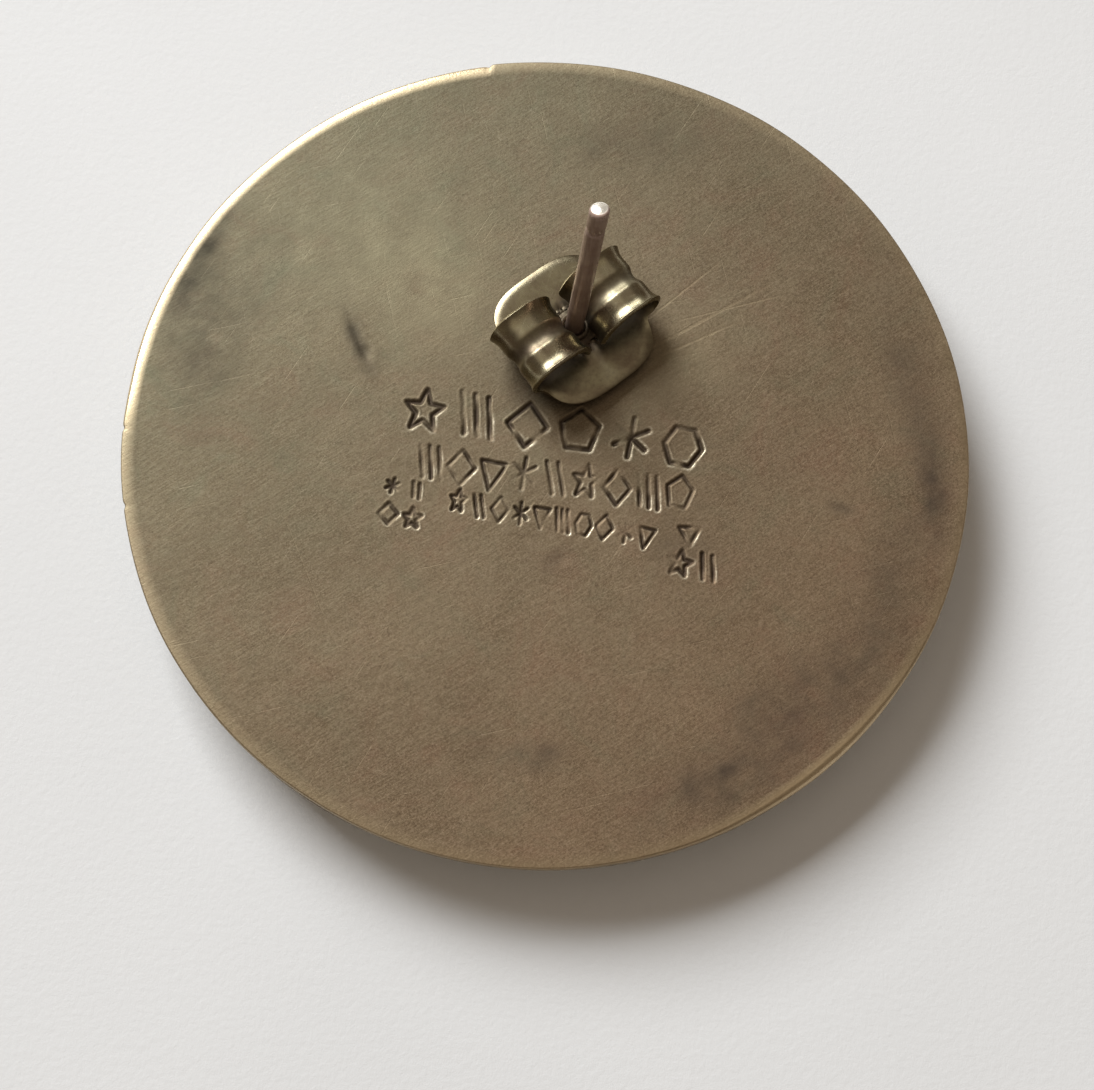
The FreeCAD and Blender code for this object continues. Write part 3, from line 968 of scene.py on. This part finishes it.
def dull_solder():
    """Silver solder: greyer and pitted."""
    r = Recipe("silver_solder")
    lumps = r.noise(4.0, 5.0, 0.65)
    pits = r.noise(14.0, 3.0, 0.6)
    colour = r.mix(r.range(lumps, 0.35, 0.7), (0.2, 0.165, 0.12), (0.4, 0.35, 0.27))
    rough = r.range(pits, 0.3, 0.8, 0.4, 0.65)
    normal = r.bump(lumps, 0.03)
    normal = r.bump(pits, 0.012, after=normal)
    return r.finish(colour, rough, normal)


def drawn_wire():
    """The post's wire: lengthwise drawing lines, a pinkish tarnish and a painted highlight on its tip."""
    r = Recipe("drawn_post_wire")
    lines = r.noise(1.0, 3.0, 0.6, at=r.stretch(0, 9.0, 9.0))
    long_place = r.add("ShaderNodeMapping")
    long_place.inputs["Scale"].default_value = (14.0, 14.0, 0.5)
    r.feed(long_place.inputs["Vector"], r.place)
    drawn = r.noise(1.0, 3.0, 0.6, at=long_place.outputs[0])
    patch = r.noise(1.1, 4.0, 0.6)
    colour = r.mix(r.range(patch, 0.38, 0.66), (0.30, 0.20, 0.155), (0.43, 0.315, 0.25))
    colour = r.mix(r.range(drawn, 0.5, 0.75, 0.0, 0.4), colour, (0.56, 0.44, 0.36))
    split = r.add("ShaderNodeSeparateXYZ")
    r.feed(split.inputs[0], r.place)
    tip = r.range(split.outputs["Z"], post_high.z - 0.34, post_high.z - 0.22)
    # A pale spot painted on the tip's side towards the window: painted highlight.
    tip_highlight_centre = POST_FOOT + POST_AXIS * POST_LENGTH + Vector((-0.02, 0.08, 0))
    away = r.vector("MULTIPLY", r.vector("SUBTRACT", r.place, tuple(tip_highlight_centre)), (1, 1, 0))
    reflection_patch = r.math("MULTIPLY", tip, r.range(r.dot(away, away), 0.115, 0.07))
    colour = r.mix(reflection_patch, colour, (0.9, 0.84, 0.72))
    rough = r.range(lines, 0.3, 0.75, 0.30, 0.46)
    rough = r.math("ADD", rough, r.math("MULTIPLY", tip, 0.35))
    rough = r.math("SUBTRACT", rough, r.math("MULTIPLY", reflection_patch, 0.5))
    normal = r.bump(drawn, 0.003)
    normal = r.bump(lines, 0.0012, after=normal)
    return r.finish(colour, rough, normal, 0.6)


def stamped_sheet():
    """The nut's sprung sheet: warm and tarnished, with rolled-in lines, and painted shade with some dirt in
    its hidden places.
    """
    r = Recipe("stamped_nut_sheet")
    patch = r.noise(0.9, 5.0, 0.62, distort=0.5)
    fine = r.noise(7.0, 4.0, 0.65)
    colour = r.mix(r.range(patch, 0.36, 0.66), (0.235, 0.188, 0.12), (0.385, 0.345, 0.215))
    colour = r.mix(r.range(fine, 0.5, 0.8, 0.0, 0.5), colour, (0.18, 0.128, 0.09))
    # Painted shade with some dirt: darker inside the scrolls, round the collar, along the grooves and on the
    # near base.
    grime_and_shade = r.math("MULTIPLY", r.layer("grime_and_shade"), r.range(fine, 0.2, 0.7, 0.75, 1.1), clamp=True)
    colour = r.mix(r.math("MULTIPLY", grime_and_shade, 0.86), colour, (0.085, 0.062, 0.045))
    hair = r.streaks((30, 75, 128), 14.0, 0.64, 0.74)
    rough = r.range(fine, 0.3, 0.8, 0.23, 0.33)
    rough = r.math("ADD", rough, r.math("MULTIPLY", hair, 0.08))
    rough = r.math("ADD", rough, r.math("MULTIPLY", grime_and_shade, 0.3))
    normal = r.bump(fine, 0.0012)
    normal = r.bump(r.math("MULTIPLY", hair, -1.0), 0.0008, after=normal)
    return r.finish(colour, rough, normal)


def white_paper():
    """Smooth pale paper."""
    r = Recipe("pale_paper")
    tone = r.noise(0.05, 4.0, 0.5)
    fibre = r.noise(3.0, 5.0, 0.7)
    colour = r.mix(r.range(tone, 0.3, 0.7), (0.79, 0.79, 0.775), (0.825, 0.825, 0.81))
    normal = r.bump(fibre, 0.02)
    return r.finish(colour, 0.85, normal, 0.0)


def paint(piece, material):
    """Give a piece its only material."""
    piece.data.materials.clear()
    piece.data.materials.append(material)


# ---- Stage: paper, window light and camera -------------------------------------------------------

def paper_floor():
    """The pale sheet that the earring lies on."""
    size = PAPER_HALF_SIZE
    corners = [(-size, -size, 0.0), (size, -size, 0.0), (size, size, 0.0), (-size, size, 0.0)]
    mesh = bpy.data.meshes.new("paper_floor")
    mesh.from_pydata([Vector(c) * MM for c in corners], [], [(0, 1, 2, 3)])
    floor = bpy.data.objects.new("paper_floor", mesh)
    bpy.context.scene.collection.objects.link(floor)
    paint(floor, white_paper())


def window_light():
    """A soft rectangular window that faces the disc."""
    data = bpy.data.lights.new("window", "AREA")
    data.shape = "RECTANGLE"
    data.size = WINDOW_WIDTH * MM
    data.size_y = WINDOW_HEIGHT * MM
    data.energy = WINDOW_POWER
    data.color = WINDOW_COLOUR
    lamp = bpy.data.objects.new("window", data)
    bpy.context.scene.collection.objects.link(lamp)
    away = Vector(WINDOW_DIRECTION).normalized()
    lamp.location = away * WINDOW_DISTANCE * MM
    lamp.rotation_euler = away.to_track_quat("Z", "Y").to_euler()


def room_light():
    """A dim warm room with a brighter patch of ceiling overhead."""
    world = bpy.data.worlds.new("room")
    bpy.context.scene.world = world
    world.use_nodes = True
    tree = world.node_tree
    tree.nodes.clear()
    place = tree.nodes.new("ShaderNodeTexCoord")
    split = tree.nodes.new("ShaderNodeSeparateXYZ")
    height = tree.nodes.new("ShaderNodeMapRange")
    blend = tree.nodes.new("ShaderNodeMix")
    shade = tree.nodes.new("ShaderNodeBackground")
    output = tree.nodes.new("ShaderNodeOutputWorld")
    blend.data_type = "RGBA"
    height.inputs["From Min"].default_value = 0.15
    height.inputs["From Max"].default_value = 0.95
    blend.inputs["A"].default_value = ROOM_LOW
    blend.inputs["B"].default_value = ROOM_HIGH
    overhead = tree.nodes.new("ShaderNodeMapRange")
    overhead.inputs["From Min"].default_value = 0.80
    overhead.inputs["From Max"].default_value = 0.93
    ceiling = tree.nodes.new("ShaderNodeMix")
    ceiling.data_type = "RGBA"
    ceiling.inputs["B"].default_value = CEILING
    tree.links.new(place.outputs["Generated"], split.inputs[0])
    tree.links.new(split.outputs["Z"], height.inputs["Value"])
    tree.links.new(height.outputs[0], blend.inputs["Factor"])
    tree.links.new(split.outputs["Z"], overhead.inputs["Value"])
    tree.links.new(overhead.outputs[0], ceiling.inputs["Factor"])
    tree.links.new(blend.outputs["Result"], ceiling.inputs["A"])
    tree.links.new(ceiling.outputs["Result"], shade.inputs["Color"])
    shade.inputs["Strength"].default_value = 1.0
    tree.links.new(shade.outputs[0], output.inputs[0])


def camera():
    """Above and in front of the disc, rolled a little, aimed along a fixed line."""
    data = bpy.data.cameras.new("camera")
    data.sensor_width = SENSOR_WIDTH
    data.lens = LENS
    data.clip_start = 0.005
    data.clip_end = 10
    view = bpy.data.objects.new("camera", data)
    bpy.context.scene.collection.objects.link(view)
    ahead = Vector((0, math.cos(CAMERA_ELEVATION), -math.sin(CAMERA_ELEVATION)))
    rolled = Matrix.Rotation(CAMERA_ROLL, 4, "Z").to_quaternion()
    view.rotation_mode = "QUATERNION"
    view.rotation_quaternion = ahead.to_track_quat("-Z", "Y") @ rolled
    view.location = CAMERA_PLACE * MM
    bpy.context.scene.camera = view


back = back_plate()
front = front_dome()
seam = rim_solder()
post = post_wire()
foot = post_fillet()
nut = butterfly_nut()
solder = dull_solder()
paint(back, tarnished_back())
paint(front, polished_front())
paint(seam, solder)
paint(foot, solder)
paint(post, drawn_wire())
paint(nut, stamped_sheet())

paper_floor()
room_light()
window_light()
camera()
bpy.context.scene.view_settings.view_transform = "Standard"
